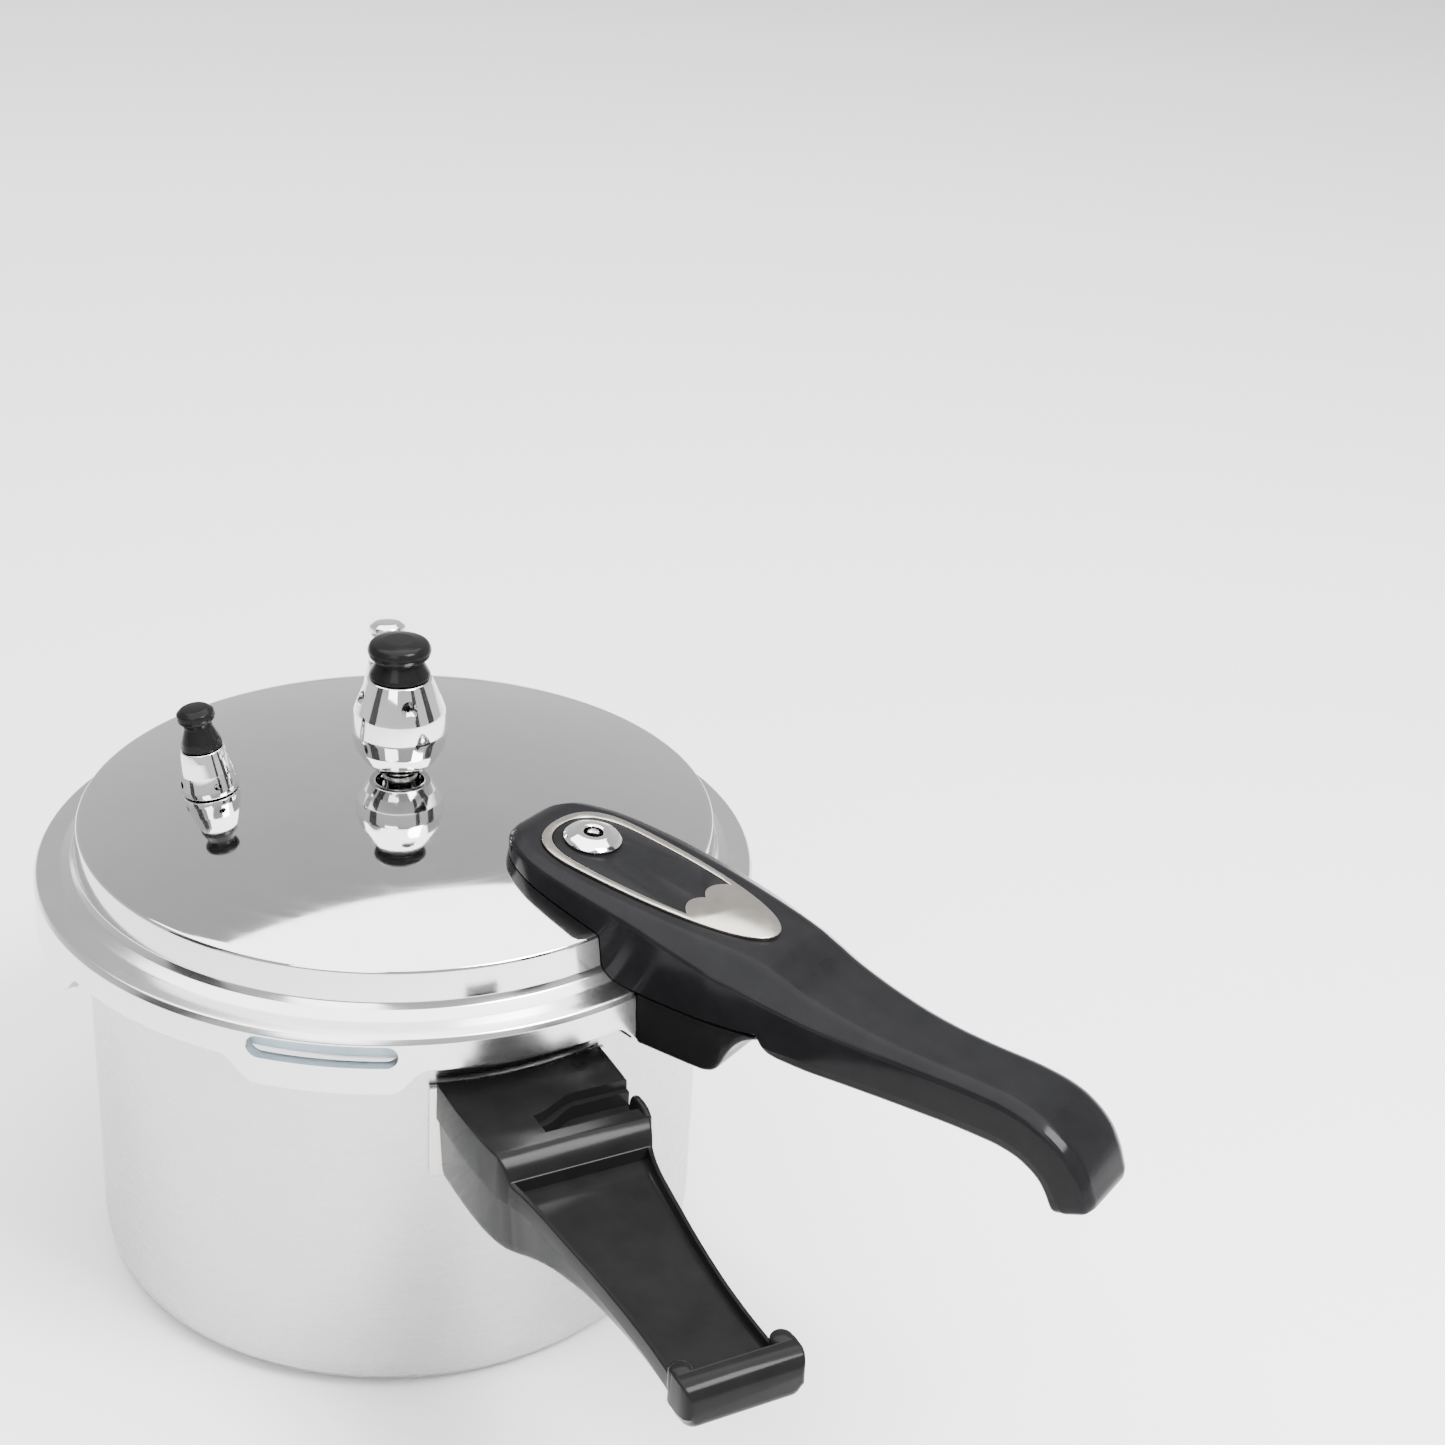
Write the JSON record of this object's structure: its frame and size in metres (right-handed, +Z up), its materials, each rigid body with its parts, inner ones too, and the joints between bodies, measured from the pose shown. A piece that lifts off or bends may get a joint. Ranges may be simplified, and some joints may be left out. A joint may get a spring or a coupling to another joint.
{
  "type": "pressure cooker",
  "caption": "Stove-top pressure cooker: drawn pot with long handle, bayonet lid with matching handle, lift-off weight, spring safety valves and pressure indicator.",
  "frame": {"origin": "centre of the pot's flat base", "axes": "+X along the pot handle, +Z up along the pot's axis; the unlocked lid handle lies 28 degrees from +X towards +Y"},
  "size_m": [0.3669, 0.2529, 0.2195],
  "materials": {
    "satin_aluminium": "fine satin, with faint turning marks",
    "polished_aluminium": "mirror polish, slightly wavy",
    "chrome": "bright plated",
    "steel": "bright zinc-plated or stainless",
    "nickel": "satin nickel",
    "phenolic": "glossy black phenolic moulding",
    "silicone": "matt blue-grey"
  },
  "bodies": {
    "pot": {"pot_body": "satin_aluminium", "pot_handle_bracket": "polished_aluminium", "pot_handle": "phenolic", "pot_handle_screw": "steel"},
    "gasket": {"lid_gasket": "silicone"},
    "lid": {"lid_shell": "polished_aluminium", "vent_pipe": "steel", "vent_pipe_nut": "steel", "black_valve_body": "chrome", "black_valve_cap": "phenolic", "black_valve_spring": "steel", "black_valve_washer": "silicone", "black_valve_nut": "steel", "silver_valve_body": "chrome", "silver_valve_cap": "chrome", "silver_valve_spring": "steel", "silver_valve_washer": "silicone", "silver_valve_nut": "steel", "lid_handle_top": "phenolic", "lid_handle_base": "phenolic", "lid_handle_bracket": "steel", "lid_handle_screw": "steel", "trim_plate": "nickel", "trim_insert": "phenolic", "indicator_bezel": "chrome", "float_grommet": "silicone", "lock_spring": "steel"},
    "weight": {"weight_shell": "chrome", "weight_knob": "phenolic", "weight_needle": "steel"},
    "indicator": {"float_pin": "steel"},
    "lock": {"lock_pin": "steel"},
    "black_plunger": {"black_valve_plunger": "steel"},
    "silver_plunger": {"silver_valve_plunger": "steel"}
  },
  "joints": [
    {"name": "lid_lift", "type": "slide", "parent": "pot", "child": "gasket", "axis": [0, 0, 1], "range_m": [0, 0.1]},
    {"name": "lid_turn", "type": "hinge", "parent": "gasket", "child": "lid", "pos_m": [0, 0, 0.139], "axis": [0, 0, 1], "range_deg": [-28, 0]},
    {"name": "weight_lift", "type": "slide", "parent": "lid", "child": "weight", "axis": [0, 0, 1], "range_m": [0, 0.024]},
    {"name": "indicator_rise", "type": "slide", "parent": "lid", "child": "indicator", "axis": [0.0984, 0.0523, 0.9938], "range_m": [0, 0.005]},
    {"name": "lock_press", "type": "slide", "parent": "lid", "child": "lock", "axis": [0, 0, 1], "range_m": [0, 0.005], "stiffness_N_per_m": 300, "springref_m": -0.006, "deforming": ["lock_spring"]},
    {"name": "black_valve_open", "type": "slide", "parent": "lid", "child": "black_plunger", "axis": [-0.0424, -0.1388, 0.9894], "range_m": [0, 0.002], "stiffness_N_per_m": 200, "springref_m": -0.01, "deforming": ["black_valve_spring"]},
    {"name": "silver_valve_open", "type": "slide", "parent": "lid", "child": "silver_plunger", "axis": [-0.1388, 0.0424, 0.9894], "range_m": [0, 0.002], "stiffness_N_per_m": 200, "springref_m": -0.01, "deforming": ["silver_valve_spring"]}
  ]
}
